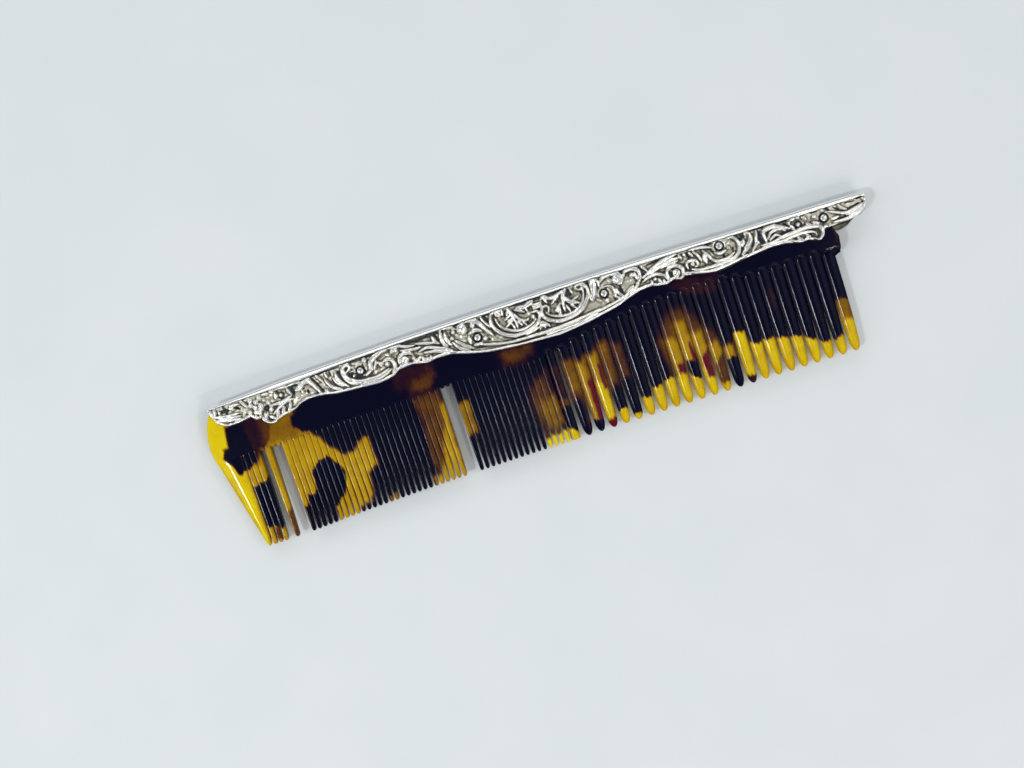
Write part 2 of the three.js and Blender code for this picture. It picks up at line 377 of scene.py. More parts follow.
def make_table_material():
    """Pale blue-grey board."""
    shader = Shader("table_paint")
    mottle = shader.noise(30, 4, 0.5)
    grain = shader.noise(900, 3, 0.6)
    colour = shader.mix(shader.spread(mottle, 0.3, 0.7), (0.68, 0.72, 0.725, 1), (0.71, 0.745, 0.75, 1))
    shader.set(Base_Color=colour, Roughness=0.65, Normal=shader.bump(grain, 0.05, 0.0002))
    return shader.material


# ---------------------------------------------------------------- silver relief


class Relief:
    """One stamped shell as heights over the comb's middle plane, on a grid of columns along the comb."""

    def __init__(self, lower_line, tallest):
        self.columns = np.arange(*RELIEF_ENDS, COLUMN_STEP)
        self.low = at(lower_line, self.columns)
        self.high = at(STRIP_LINE, self.columns)
        share = np.linspace(0, 1, RELIEF_ROWS)
        self.x = np.repeat(self.columns[:, None], RELIEF_ROWS, 1)
        self.y = self.low[:, None] + (self.high - self.low)[:, None] * share
        self.tallest = tallest
        self.raised = np.zeros(self.x.shape)
        grains = np.random.default_rng(7).normal(0, 1, self.x.shape)
        self.ground = FINE_UNEVENNESS * blurred(grains, 1) + BROAD_UNEVENNESS * blurred(grains, 4)
        # painted shade and tarnish laid into the pockets and the pits round the pins
        self.tarnish_and_shade = np.zeros(self.x.shape)

    def nearness(self, points, width, taper):
        """The columns near a line, and their points' distance to it over its local half width."""
        line = curved(points)
        first, last = np.searchsorted(self.columns, (line[:, 0].min() - width, line[:, 0].max() + width))
        part = slice(max(first - 1, 0), last + 1)
        x, y = self.x[part], self.y[part]
        lengths = np.hypot(*np.diff(line, axis=0).T)
        ends = np.concatenate([[0], np.cumsum(lengths)])
        ratio = np.full(x.shape, FAR)
        for index, (start, step) in enumerate(zip(line, np.diff(line, axis=0))):
            along = ((x - start[0]) * step[0] + (y - start[1]) * step[1]) / max(step @ step, 1e-9)
            along = np.clip(along, 0, 1)
            distance = np.hypot(x - start[0] - along * step[0], y - start[1] - along * step[1])
            travelled = (ends[index] + along * lengths[index]) / max(ends[-1], 1e-9)
            local = width * (1 - taper * np.abs(2 * travelled - 1) ** 3)
            ratio = np.minimum(ratio, distance / local)
        return part, ratio

    def ridge(self, points, width=0.4, rise=0.75, taper=0.45):
        """A form with a round crest along a line."""
        part, ratio = self.nearness(points, width * FULLNESS, taper)
        profile = np.clip(1 - ratio**2, 0, 1) ** 0.7
        self.raised[part] = np.maximum(self.raised[part], PROUDNESS * rise * profile)

    def ridges(self, lines, width=0.4, rise=0.75):
        """Ridges of one width and rise, one along each line."""
        for line in lines:
            self.ridge(line, width, rise)

    def groove(self, points, width=0.3, depth=0.6):
        """A furrow through the forms drawn before it."""
        part, ratio = self.nearness(points, width, 0.3)
        self.raised[part] -= depth * np.clip(1 - ratio**2, 0, 1)

    def bead(self, x, y, radius, rise):
        """A round boss."""
        self.ridge([(x, y), (x + 0.01, y)], radius, rise, 0)

    def beads(self, places, radius, rise):
        for x, y in places:
            self.bead(x, y, radius, rise)

    def hollow(self, x, y, radius, depth=0.5):
        """A round dip in the forms drawn before it."""
        self.groove([(x, y), (x + 0.01, y)], radius, depth)

    def pit(self, x, y, radius):
        """A round sink that clears the relief for a pin or a flower's bead."""
        part, ratio = self.nearness([(x, y), (x + 0.01, y)], radius, 0)
        keep = eased((ratio - 0.7) / 0.5)  # nothing within 0.7 of the radius, all of it beyond 1.2
        self.raised[part] = self.raised[part] * keep - PIT_DEPTH * (1 - keep)
        # the pit's ring is painted dark as its shadow
        self.tarnish_and_shade[part] = np.maximum(self.tarnish_and_shade[part], 1 - keep)

    def pocket(self, points, width):
        """A hollow in the ground, painted dark with shade and tarnish, drawn before the forms that rise
        beside it.
        """
        part, ratio = self.nearness(points, width, 0.2)
        cover = eased(1.5 - ratio)  # full up to half the width, fading out at one and a half
        self.raised[part] = np.minimum(self.raised[part], -DEEPEST * cover)
        self.tarnish_and_shade[part] = np.maximum(self.tarnish_and_shade[part], cover)

    def outer(self):
        """Heights of the outer face, rounded over at the outline."""
        unevenness = self.ground * (1 - 0.6 * eased(self.raised / 0.45))  # raised forms are smoother
        height = FLOOR_HEIGHT + np.clip(self.raised, -DEEPEST, None) + unevenness
        top = self.tallest - CREST
        height = np.where(height > top, top + CREST * np.tanh((height - top) / CREST), height)
        lower_slope = np.hypot(1, np.gradient(self.low, self.columns))[:, None]
        upper_slope = np.hypot(1, np.gradient(self.high, self.columns))[:, None]
        from_edge = np.minimum((self.y - self.low[:, None]) / lower_slope,
                               (self.high[:, None] - self.y) / upper_slope)
        share = np.clip(from_edge / EDGE_ROUNDING, 0, 1)
        return RIM_HEIGHT + (height - RIM_HEIGHT) * np.sqrt(1 - (1 - share) ** 2)

    def inner(self):
        """Heights of the inner face: a plain hollow under the sheet."""
        plain = blurred(self.outer(), 6) - SHEET
        return np.clip(np.minimum(plain, self.outer() - THINNEST), RIM_HEIGHT - 0.05, None)

    def sunk(self):
        """How dark each point is painted, from 0 on the crests to 1 in the pockets: tarnish with painted
        shade in the hollows.

        It is a weighted sum of the depth under the crests, the height of the surroundings, the pockets
        and pits (painted shade), and a painted shadow along the seam by the spine's band.
        """
        outer = self.outer()
        local = blurred(outer, 4) - outer
        wide = blurred(outer, 12) - outer
        depth = np.clip((0.5 - self.raised) / 0.5, 0, 1.5)
        # painted shadow along the seam under the spine's band
        seam = 0.45 * np.clip(1 - (self.high[:, None] - self.y) / 0.4, 0, 1)
        # painted shade in the pockets and pits, less on the forms that rise over them
        tarnish_and_shade = 0.5 * self.tarnish_and_shade * (1 - eased(self.raised / 0.4))
        return np.clip(0.06 + 0.46 * depth + 1.25 * local + 0.45 * wide + tarnish_and_shade + seam, 0, 1)


# Hollows between the raised forms, painted dark with shade and tarnish: the lines that they follow, by
# their half width.
POCKETS = {
    0.15: (((53.5, -2.2), (55, -2.3)), ((60, -2.7), (61, -2.8))),
    0.18: (((127.7, 0.2), (128.3, -1)),),
    0.2: (
        ((14.6, -0.6), (14.9, -1.2)), ((39.7, 0), (39.6, -1.2)), ((66.7, -0.5), (67, -1.1)),
        ((81.7, -2.7), (82.5, -1.9)), ((90, -3.4), (90.2, -4.8)), ((107, 1.4), (109, 1.2)),
        ((128.9, 1.1), (130.2, 1)), ((167.4, -0.3), (168.4, -1.2)), ((170.4, -0.2), (172.8, -0.4)),
        ((167.4, -3.3), (169.8, -3.4)), ((171.6, -3.2), (173.6, -2.5)),
    ),
    0.22: (
        ((26, 0.2), (36.8, 0.5)), ((71.5, 1.4), (74.5, 1.4)), ((72, -5.9), (76.5, -6.6)),
        ((145.8, 0.5), (149.6, 0.4)), ((161.7, 0), (163.3, 0)), ((170.8, -1.8), (173.6, -1.2)),
    ),
    0.25: (
        ((2.2, -2.1), (2.6, -3)), ((12.8, -2.2), (13.6, -2.3)), ((34, 0.1), (34.1, -1)),
        ((67.2, 1.35), (69.5, 1.2)), ((67.2, -3.5), (69, -5.2)), ((82, -6.5), (84.4, -6.6)),
        ((92.2, -5.2), (94.5, -6.3)), ((101.4, 0.5), (101.5, -1)), ((109.6, 0.9), (109.8, 0.3)),
        ((121, -3.4), (121.2, -4.5)), ((132.7, 0.9), (134, 0.8), (136.5, 0.5)), ((141, -2), (140.8, -3)),
        ((131.9, -2.3), (132, -3)), ((152.6, 0.2), (155.6, 0.1)), ((154.6, -0.3), (155.4, -0.8)),
        ((160, -4.8), (160.7, -5.8)), ((173.4, 0), (174.6, -0.1)),
    ),
    0.28: (((36.3, -0.6), (36.2, -2.5), (36.9, -4)),),
    0.3: (
        ((7.8, -1.3), (8.8, -1.9)), ((44.3, -0.3), (44.5, -1)), ((45.6, -2.4), (45.9, -3.2)),
        ((51.1, -2.8), (51.5, -4.5)), ((53.8, 0.2), (56.5, -0.2)), ((54.9, -3.6), (55, -4.4)),
        ((83, 1.4), (87.5, 1.4)), ((98.5, 1), (98.7, -0.7)), ((84.6, -0.3), (86.3, -1.4)),
        ((81, -7.9), (86.3, -8.1)), ((94.5, -0.7), (95.3, -1.4)), ((119.3, 0.5), (122.5, 0.8)),
        ((111.4, -2.4), (111.6, -4.2)), ((129.8, 0.4), (129.9, -1)), ((135.6, -0.8), (136.2, -2)),
        ((153.4, -2.6), (155.6, -2.2)), ((162.3, -2.1), (163, -2.5)),
    ),
    0.35: (
        ((23, -0.5), (24.8, -0.5)), ((29.2, -0.3), (30.1, -2.2), (30.9, -3.9)),
        ((39.8, 0.6), (42.5, 0.6), (45.5, 0.8), (47.5, 0.9)), ((42.8, -1), (42.9, -2.8)),
        ((72.4, 0.8), (72.2, -0.5)), ((75.4, -4.7), (76, -4.9)), ((76.4, 1.2), (76.7, -0.5), (77, -2.5)),
        ((103.7, 1.2), (103.9, -2.3)), ((112.7, 1.1), (112.6, 0.3)), ((117.4, 0.6), (117.5, -0.8)),
        ((124, -2.8), (124.3, -3.6)), ((165.7, 0), (166.1, -0.6)),
    ),
    0.4: (
        ((27.3, -2.8), (27.3, -3.4)), ((76, 1.4), (78, 1.4)), ((81.2, 1.3), (81.2, -0.3)),
        ((93, 1.4), (97.5, 1.4)), ((142.3, 0.5), (144.3, 0.4)),
    ),
    0.45: (
        ((54, 1), (58, 0.8), (63.5, 0.9)), ((89.5, 1.3), (91.8, 1.2)), ((143.5, 0.2), (143.6, -0.6)),
        ((148.2, -0.4), (148.3, -3)),
    ),
    0.5: (
        ((4.8, -0.2), (5.2, -1.8)), ((23.4, -1), (23.5, -2.5)),
        ((38.6, -1.9), (39.2, -3), (41, -3.9), (42.3, -4.2)),
    ),
}


def add_ornament(relief):
    """Scrolls, leaves and flowers from left to right, over the pockets and under the pins' pits."""
    for width, lines in POCKETS.items():
        for line in lines:
            relief.pocket(line, width)
    add_rim(relief)
    add_left_end(relief)
    add_left_flowers(relief)
    add_scroll_round_pin_2(relief)
    add_volute_and_leaves(relief)
    add_flower_round_pin_3(relief)
    add_centre_scrolls(relief)
    add_curls_round_pin_4(relief)
    add_right_stem(relief)
    add_scroll_round_pin_5(relief)
    add_right_leaves(relief)
    add_right_flower(relief)
    add_right_end(relief)
    for place, (x, y) in enumerate(PIN_PLACES):
        relief.pit(x, y, HEAD_PIT if place else STUMP_PIT)


def add_rim(relief):
    """The plain rolled edge along the scallops."""
    inside = [(x, y + RIM_INSET) for x, y in SCALLOP_LINE if 1.5 < x < 164.5]
    relief.ridge(inside, 0.36, 0.5, 0)


def add_left_end(relief):
    relief.ridge([(1.2, -0.3), (1.3, -2), (1.6, -3.4), (3, -4.7), (5, -5.2)], 0.5, 0.85)
    relief.ridge([(5.8, -5.1), (8, -5), (10.3, -4.7)], 0.45)
    relief.ridges([
        [(1.8, -1.9), (3.5, -2.3), (6, -2.7), (8.5, -2.8)], [(2.2, -2.3), (5, -3.2), (8.5, -3.6)],
        [(2, -2.9), (5, -3.9), (8.3, -4.2)],
    ], 0.3, 0.7)
    relief.ridges([
        [(2.2, 0), (2.2, -1.6)], [(3.4, -0.7), (3.4, -1.8)], [(6.2, -1), (7.4, -1.6)],
        [(6.5, -0.6), (9, -0.6)], [(9.5, 0), (10.3, -1.2), (10.8, -2)],
    ], 0.32)
    relief.groove([(3.4, -1.2), (5.8, -1.3)], 0.55, 0.7)
    relief.hollow(8.3, -1.5, 0.55)


def add_left_flowers(relief):
    relief.beads([
        (13.3, -1.5), (14.2, -2.6), (12.6, -4), (11, -3.6), (11.7, -2), (14.4, -0.8), (16.6, -4.5),
        (14.9, -5.4), (16.4, -2.6),
    ], 0.5, 0.75)
    relief.beads([(12.7, -2.8), (12, -5.3), (13.4, -4.4), (11.9, -0.8), (18, 0), (13.9, -3.6)], 0.5, 0.65)
    relief.ridge([
        (13.9, -5.8), (14.1, -7), (15, -7.7), (16.2, -7.9), (17.3, -7.4), (17.8, -6.7),
    ], 0.42, 0.85)
    relief.ridges([
        [(14.6, -5.9), (14.7, -6.7)], [(15.8, -6.1), (17, -7)], [(15.5, -0.3), (17, -0.4)],
    ], 0.35)
    relief.pit(20.2, -1.8, 0.95)
    relief.bead(20.2, -1.8, 0.42, 0.8)
    relief.ridges([
        [(18.9, -0.9), (18.8, -2.3)], [(19.2, 0), (20.8, 0.1), (22.2, -0.3)], [(22.2, -1), (23, -2.3)],
    ], 0.42)
    relief.groove([(23.6, 0), (23.6, -2.6)], 0.8, 1)
    relief.ridges([
        [(16.7, -3.6), (20, -3.5), (22.6, -2.8)], [(17, -5.8), (18.6, -4.8), (20.5, -3.9), (23, -3.6)],
        [(17.6, -6.6), (18.4, -5.4)], [(19.2, -6.5), (20, -4.9)], [(21, -6.3), (22, -4.4)],
    ], 0.36)
    relief.ridge([(21.8, -6.6), (23.5, -5.9), (26, -4.8), (30, -4.8)], 0.4)
    relief.ridge([(24.4, -1.8), (26.3, -1.3)], 0.55)
    relief.ridge([(25.9, -2.2), (26, -3.1)], 0.35)
    relief.hollow(27.3, -3, 0.7)
    relief.ridge([(25.5, -0.9), (27.5, -0.5), (28.5, -0.9), (29.5, -2.4), (30.2, -4)], 0.52, 0.9)
    relief.groove([(28.9, 0), (30, -1.8), (30.9, -3.9)], 0.3, 0.6)
    relief.ridges([
        [(27.5, 0), (28.6, 0)], [(30.4, 0.1), (31.2, -1), (31.7, -2)], [(32.9, 0.1), (33.1, -1.2)],
    ], 0.3)
    relief.ridges([
        [(32.4, -1.6), (33, -3), (34.2, -4.4), (35.8, -5.1)], [(34.6, -1.8), (35.2, -3.2), (36.5, -4.6)],
        [(35.5, -0.6), (35.5, -1.8), (36.1, -3.4), (37.6, -5)], [(31.7, -4), (32.3, -5)],
    ], 0.38)


def add_scroll_round_pin_2(relief):
    relief.ridge([
        (38.4, -1.5), (39.5, -0.6), (38.8, 0.2), (37.6, -0.3), (37.3, -1.8), (37.9, -3.5), (39.2, -4.8),
        (41, -5.2),
    ], 0.42, 0.9)
    relief.ridge([
        (37.9, -1.2), (38.1, -2.6), (39.4, -4), (41.5, -4.8), (45, -5), (47.5, -4.5), (49, -4),
    ], 0.36)
    relief.ridge([(41, -5.6), (45, -5.7), (48, -5.1), (49.6, -4.3)], 0.3)
    relief.ridge([(48.3, -1.8), (49.8, -1.6), (50.7, -2.6), (50.6, -4.2), (49.8, -5.2)], 0.45, 0.9)
    relief.beads([(49, -2.8), (47.5, -2.2), (43.5, 0)], 0.5, 0.75)
    relief.beads([(46.9, -1.7), (47.4, -2.6), (40.2, -0.9), (40, -2.9)], 0.34, 0.75)
    relief.groove([(39.5, -2.2), (41.5, -3.6), (44, -4)], 0.6, 0.5)
    relief.ridge([(43, -3.7), (44.5, -2.8), (45, -1), (46.5, 0), (48.5, 0.7), (49.8, 0.8)], 0.5, 0.9)
    relief.ridge([(46.5, -1), (45.4, -3.2)], 0.28)


def add_volute_and_leaves(relief):
    relief.beads([(51.1, -0.1), (52.1, -0.1)], 0.45, 0.75)
    relief.ridges([
        [(50.5, 0.9), (53, 0.7), (55, 0), (57, -0.3)], [(53.4, -0.6), (55, -1), (57, -1.3), (58.4, -1.2)],
        [(57.5, -0.1), (60, -0.7), (62.5, -1.4)],
    ], 0.34)
    relief.groove([(54, 1), (59, 0.6), (63, 0.8)], 0.5, 0.7)
    relief.ridge([(52.1, -3.6), (52.4, -2.2), (53.6, -1.5), (55.2, -1.8), (56, -2.4)], 0.4, 0.9)
    relief.bead(53.5, -3.3, 0.8, 0.85)
    relief.beads([(52.3, -4.4), (54.2, -4.6), (55.9, -3.3)], 0.4, 0.75)
    relief.ridge([(55.2, -4.6), (56.5, -4.3), (57.8, -3.6)], 0.42)
    relief.ridges([
        [(58.3, -3.9), (58.3, -5)], [(59.3, -4.3), (59.3, -5.2)], [(60.3, -4.2), (60.3, -5.1)],
    ], 0.38)
    relief.ridges([
        [(57.8, -2.3), (60, -1.9), (62.3, -2.7), (64, -3.4), (66, -4.5)],
        [(59, -3), (62, -3.5), (65, -4.6)], [(64, -4.2), (67, -5.4)],
    ], 0.34)
    relief.ridges([
        [(62.1, 0.3), (62.4, -0.8), (63.2, -1.8)], [(64.5, 1.1), (64.2, -0.5), (64.4, -2.3), (65.2, -3.2)],
        [(65.5, 0.2), (65.4, -1.5), (66.2, -3.2)],
    ], 0.42, 0.85)
    relief.groove([(62.9, 0.5), (63.4, -1.5)], 0.3, 0.7)


def add_flower_round_pin_3(relief):
    relief.ridge([(65, 1.4), (67, 1.1), (68.2, 0.4)], 0.35)
    relief.beads([(67.5, -0.3), (66.8, -1.7), (70.5, 0.9)], 0.42, 0.75)
    relief.bead(69.9, -0.3, 1.0, 0.95)
    relief.ridges([[(66.8, -2.8), (68, -4.6), (70.3, -6)], [(67.5, -2.5), (69, -4), (71.3, -5.7)]], 0.36)
    relief.ridges([
        [(71.4, -2), (73, -1.5), (74.4, -2.1)], [(71.1, -2.6), (71.1, -4.4)], [(72, -5.1), (73.8, -5.1)],
    ], 0.42, 0.7)
    relief.ridge([(71.5, 1.2), (73.5, 0.8), (75, -0.8), (76, -2.5), (77, -4)], 0.5, 0.9)
    relief.ridges([[(74, 0.5), (75.2, -1), (76.6, -3.4)], [(75.4, 1.3), (75.8, 0), (77, -2)]], 0.32, 0.8)
    relief.beads([(72.7, -0.2), (75, -4.3)], 0.5, 0.75)
    relief.groove([(75.2, 0.4), (76.6, -2.6)], 0.2, 0.5)
    relief.ridge([(73.5, -5.5), (76, -6.2), (79, -7)], 0.3)


def add_centre_scrolls(relief):
    relief.ridges([
        [(80.2, 1.4), (78.6, 1.1), (77.7, 0.2), (77.6, -1.8), (78.4, -3.4), (80, -4.9), (82.5, -6),
        (85, -6.1), (87.3, -5.6), (89, -4.6), (89.9, -3.1), (89.6, -1.9), (88.3, -1.7)], [(92.4, -2.8),
        (92.6, -1.7), (91.4, -1.3), (90.6, -2.4), (90.8, -3.8), (92, -5), (94, -5.9), (97, -6),
        (100, -5.2), (102, -3.6), (103.3, -1.5), (103.2, 0.2), (102.3, 1.1), (101, 1.2), (100.5, 0.6),
        (101.2, 0)],
    ], 0.42, 0.92)
    relief.ridges([
        [(78.9, -0.5), (79.3, -2.2), (80.5, -3.6), (82.7, -4.8), (85, -5.1), (87.4, -4.5), (88.7, -3.6)],
        [(83.9, -0.8), (84.8, -2.5), (86.3, -3.2), (87, -2.9)],
        [(91.7, -3), (92.7, -4), (95, -4.9), (98, -5), (100.4, -3.9), (101.7, -2.3), (102.2, -0.5)],
    ], 0.3)
    relief.ridge([(79.3, 0.2), (79.4, 0.9), (80.2, 1.2), (81, 0.9), (80.9, -0.1)], 0.32, 0.8)
    relief.beads([(88.2, -2.9), (80, 0.2)], 0.45, 0.75)
    relief.ridges([
        [(82.5, 1.2), (83.1, -0.5), (83.5, -2.5)], [(84.9, 0.5), (87, 0.2), (88.8, 1)],
        [(98, 1.2), (96.9, -0.4), (96.4, -2.6)], [(97.3, -0.5), (98.2, -2.1), (100.2, -3)],
    ], 0.44, 0.85)
    relief.ridges([
        [(81.1, -1.5), (82.9, -0.6)], [(81, -3.2), (82.9, -2.3)], [(82.5, -2.8), (83, -4.2)],
        [(83.6, -2), (83.7, -4.3)], [(84.2, -2.7), (84.9, -4)], [(85.3, -3.2), (86, -4.3)],
        [(84.2, 0.2), (85.3, -0.4), (86.4, -1)], [(87, 0), (87.3, -1.2)], [(81.6, -2.2), (83.2, -1.6)],
        [(82.4, 0.6), (81.9, -0.5)], [(96.3, -2.4), (96.4, -4)], [(97.1, -2.8), (97.6, -4.5)],
        [(98.2, -3), (99.2, -4)], [(95.7, 0), (94.5, -0.7), (93.6, -1.2)], [(95.7, -1.8), (94.6, -2.9)],
        [(95.2, -2.8), (95.1, -4)], [(92, 0.7), (92.6, -0.6)], [(99.2, 0.7), (99.4, -0.4)],
        [(99, -2), (100.6, -1.4)],
    ], 0.27)
    relief.ridge([(86.5, 0), (88.3, 0.4), (89.2, 0.9)], 0.42, 0.85)
    for y in (0, -0.5, -1):
        relief.ridge([(88.8, y), (91.2, y)], 0.2, 0.6)
    for x in (89, 90.3, 91.5):
        relief.ridge([(90, -4.8), (x, -6.4)], 0.35, 0.7)
    relief.beads([(102, 0), (94.4, -3.2), (95, -4)], 0.42, 0.75)
    relief.bead(94.9, -2.7, 0.5, 0.8)
    relief.ridge([(86.5, -8), (92, -8.1), (98, -7.9), (104, -7.2)], 0.3, 0.3)
    relief.ridge([(91.3, 0.6), (92.2, 1.1), (93.5, 0.2), (95.5, 0.4), (97, 1)], 0.36, 0.85)
    relief.hollow(95, -1.2, 0.6)
    relief.hollow(80.4, -1.6, 0.8, 0.3)
    relief.hollow(99.8, -1.6, 0.9, 0.3)
    relief.hollow(86, -2, 0.7, 0.3)
    relief.ridges([
        [(76, -6.2), (80, -7.1), (84, -7.4), (90, -7.5), (96, -7.3), (100, -6.9), (105, -6.3)],
        [(84.8, -6.6), (87, -6.3), (88.7, -5.9)],
    ], 0.32, 0.7)
    relief.groove([(82, -8), (86, -8.1), (90, -8.2)], 0.3, 0.4)
    relief.groove([(83, -6.7), (85, -6.7)], 0.3, 0.5)


def add_curls_round_pin_4(relief):
    relief.ridge([(105, 1.4), (104.9, 0), (104.4, -2), (103.7, -3.4)], 0.7, 0.75)
    relief.groove([(103.9, 1.2), (103.9, -2.2)], 0.2, 0.6)
    relief.ridge([(105.5, 1.3), (106.4, 0.5), (106.3, -0.8)], 0.3)
    relief.ridges([
        [(106.8, 0.2), (108, 1), (110, 1.2), (111.6, 0.8), (112.4, -0.3), (112, -1.4), (111.2, -1.8)],
        [(113, -0.3), (113.5, 0.6), (115, 0.9), (116.5, 0.3), (117, -1), (116.4, -2.5), (115.5, -3.2)],
    ], 0.42, 0.9)
    relief.bead(110.9, -0.5, 0.8, 0.85)
    relief.beads([(115, -0.7), (107.3, -4.8)], 0.5, 0.8)
    relief.ridges([
        [(107.9, -1.3), (109.3, -1.9), (109.8, -3.2), (109.6, -4.5), (110.5, -5.2)],
        [(105, -3.8), (105.8, -4.5)], [(115.8, -0.3), (116, -2)],
    ], 0.32)
    relief.ridges([
        [(110.4, -2.8), (110.6, -4), (111.5, -5)], [(112, -5), (113.5, -4), (114.6, -3.4)],
        [(112.4, -5.4), (113.5, -4.5), (115.2, -3.9), (116.4, -2.8)],
    ], 0.34)
    relief.hollow(111.6, -3, 0.6, 0.4)
    relief.hollow(108.8, -0.4, 0.6, 0.3)
    relief.ridge([(101, -7.4), (105, -6.6), (109, -5.9), (113, -5), (117.8, -4.2)], 0.28, 0.6)
    relief.ridge([(117.8, 0.6), (118.6, -0.3), (118.9, -1)], 0.3)


def add_right_stem(relief):
    relief.ridges([
        [(117.5, -2.2), (119.5, -1.2), (122, -0.2), (124.5, 0.5), (127, 0.8)],
        [(119, -1.9), (122, -1), (125, -0.3), (127.5, -0.2)],
    ], 0.4, 0.85)
    relief.ridge([(122.5, -1.4), (125, -1), (127, -0.9)], 0.25)
    relief.ridge([(117.2, -3.2), (119, -2.5), (121, -2.4), (122.8, -3.4), (123.3, -4.6)], 0.36, 0.85)
    relief.ridges([
        [(119.3, -3.6), (119.3, -4.7)], [(121.1, -3.7), (121.5, -4.9)], [(122.3, -4.3), (122.3, -5.2)],
    ], 0.34)
    relief.bead(120.3, -3.5, 0.36, 0.8)
    relief.ridge([
        (123.7, -4.2), (123.6, -2.6), (124.8, -1.8), (126.4, -1.9), (127.5, -3), (127.4, -4.6),
        (126.4, -5.4), (125.2, -5),
    ], 0.42, 0.92)
    relief.bead(125.8, -3.7, 0.75, 0.9)
    relief.hollow(124.5, -3.1, 0.35, 0.4)
    relief.ridges([[(127.6, 0.4), (128, -0.8)], [(128.8, 0.4), (129.1, -0.4)]], 0.32)


def add_scroll_round_pin_5(relief):
    relief.ridges([
        [(128.9, -3.6), (128.9, -2.3), (130, -1.8), (131.3, -2.3), (131.5, -3.4), (130.8, -3.7)],
        [(133.6, -0.5), (134.6, -1.8), (135.2, -3.2), (136.5, -4.1), (139, -4.1), (141, -3.3)],
    ], 0.34)
    relief.bead(130.3, -2.9, 0.42, 0.8)
    relief.ridge([(128.3, -4.4), (130, -5), (133, -5.9), (136, -6), (140, -5.6), (144, -4.9)], 0.4, 0.85)
    relief.ridge([
        (129.8, -4), (131.5, -4.7), (134, -4.9), (137, -5), (140, -4.7), (141.8, -3.9), (142.6, -2.2),
        (142.6, -0.8), (141.6, 0.4), (140.3, 0.6),
    ], 0.4, 0.92)
    relief.ridges([
        [(130.2, 0.2), (130.8, -1)], [(131.3, 0), (132.2, -1.2), (132.6, -2.8)],
        [(130.5, 0.7), (133, 0.5), (135, 0), (136, -0.5)], [(139.7, -1.3), (140.2, -2.1)],
    ], 0.32)
    relief.ridge([(133.6, -1.5), (133.7, -3.6)], 0.5, 0.85)
    relief.ridge([(136.4, -1.9), (137.7, -2.4), (139.1, -2.1)], 0.4)
    relief.hollow(138.3, -3.2, 0.7, 0.3)


def add_right_leaves(relief):
    relief.ridges([
        [(143.4, -2.4), (143.9, -1.1)], [(145.8, 0), (145.8, -1.3), (144.6, -3), (142.9, -4.4)],
    ], 0.5, 0.85)
    relief.ridge([(147.6, 0), (147.2, -1.5), (146.8, -3), (145.5, -4.4)], 0.34)
    relief.bead(147.3, -2.8, 0.4, 0.8)
    relief.groove([(143.9, 0.3), (144.3, -0.2)], 0.6, 0.9)
    relief.groove([(148.5, -0.3), (148.4, -3)], 0.38, 0.9)
    relief.ridge([
        (149.3, -3.2), (149.2, -1), (150.5, -0.3), (152.5, -0.4), (154.5, -1.3), (155.5, -1.9),
    ], 0.45, 0.9)
    relief.ridges([
        [(149.9, -2.8), (151, -1.5), (153, -1.3), (154.5, -2.1)], [(150.3, -3.2), (152, -2.4), (153, -3)],
    ], 0.3)
    relief.groove([(152.8, 0.3), (155.2, -0.4)], 0.4, 0.8)
    relief.ridges([
        [(148, -3.8), (151, -3.9), (154, -3.2), (157, -3)], [(148, -4.4), (152, -4.4), (156, -4.3)],
    ], 0.3)


def add_right_flower(relief):
    relief.pit(158, -1.7, 1.05)
    relief.bead(158, -1.7, 0.42, 0.8)
    relief.ridges([
        [(156.5, -0.1), (157.5, 0)], [(159.5, -0.4), (160.2, -1)], [(156.1, -1.4), (156.7, -2.5)],
        [(160, -2.1), (160.9, -2.8)],
    ], 0.4)
    relief.beads([(155.9, -0.7), (158.4, -0.1)], 0.36, 0.75)
    relief.ridge([
        (153, -3.6), (156, -3.3), (159, -3), (161, -3.2), (162.8, -3.8), (163.3, -4.9), (162.9, -6.2),
        (161.8, -6.8), (160.9, -6.3),
    ], 0.45, 0.95)
    relief.ridges([
        [(153, -4.4), (156, -4.2), (159, -4.1), (161.2, -4.7), (161.6, -5.6)],
        [(155.2, -4.9), (156.5, -5.7)], [(157, -4.7), (158.2, -5.9)], [(159, -4.4), (160, -5.8)],
    ], 0.32)
    relief.ridges([[(161.6, -2.3), (163, -2.9)], [(161.9, -1.2), (162.7, -1)]], 0.36)


def add_right_end(relief):
    relief.beads([(164.6, -0.3), (164.4, -4.2)], 0.4, 0.75)
    relief.ridges([
        [(166, -1), (167.5, -1.6), (170, -2.6), (173, -2), (174.5, -1.6)],
        [(168.7, 0), (169.2, -1), (170.3, -1.7)], [(166, -3), (168, -2.9)],
        [(170, -3.1), (172.5, -2.6), (174.2, -2)], [(170.5, -3.7), (172.5, -3.3), (174, -2.7)],
    ], 0.34)
    relief.ridge([
        (166.6, -3.9), (171, -4), (173, -3.5), (174.8, -2.3), (175.3, -1.2), (174.8, -0.4),
    ], 0.36, 0.8)


def shell_mesh(relief, side):
    """Points and faces of a thin closed shell; side is 1 for the front and -1 for the back."""
    columns, rows = relief.x.shape
    outer, inner = relief.outer(), relief.inner()
    inset_y = np.clip(relief.y, relief.low[:, None] + LIP, None)
    inset_y = np.minimum(inset_y, relief.high[:, None])
    seam = np.full(columns, SEAM_HALF)
    loops = [np.stack([relief.columns, relief.high, MIDDLE + side * seam], 1)]
    for row in reversed(range(rows)):
        loops.append(np.stack([relief.columns, relief.y[:, row], MIDDLE + side * outer[:, row]], 1))
    for row in range(rows):
        loops.append(np.stack([relief.columns, inset_y[:, row], MIDDLE + side * inner[:, row]], 1))
    loops.append(np.stack([relief.columns, relief.high - SEAM_LIP, MIDDLE + side * seam], 1))
    sunk = relief.sunk()
    # the inner faces are painted dark all over, as shade
    values = [sunk[:, -1], *sunk.T[::-1], *np.full((rows + 1, columns), INNER_PAINTED_SHADE)]
    return *grid_mesh(loops), np.array(values)


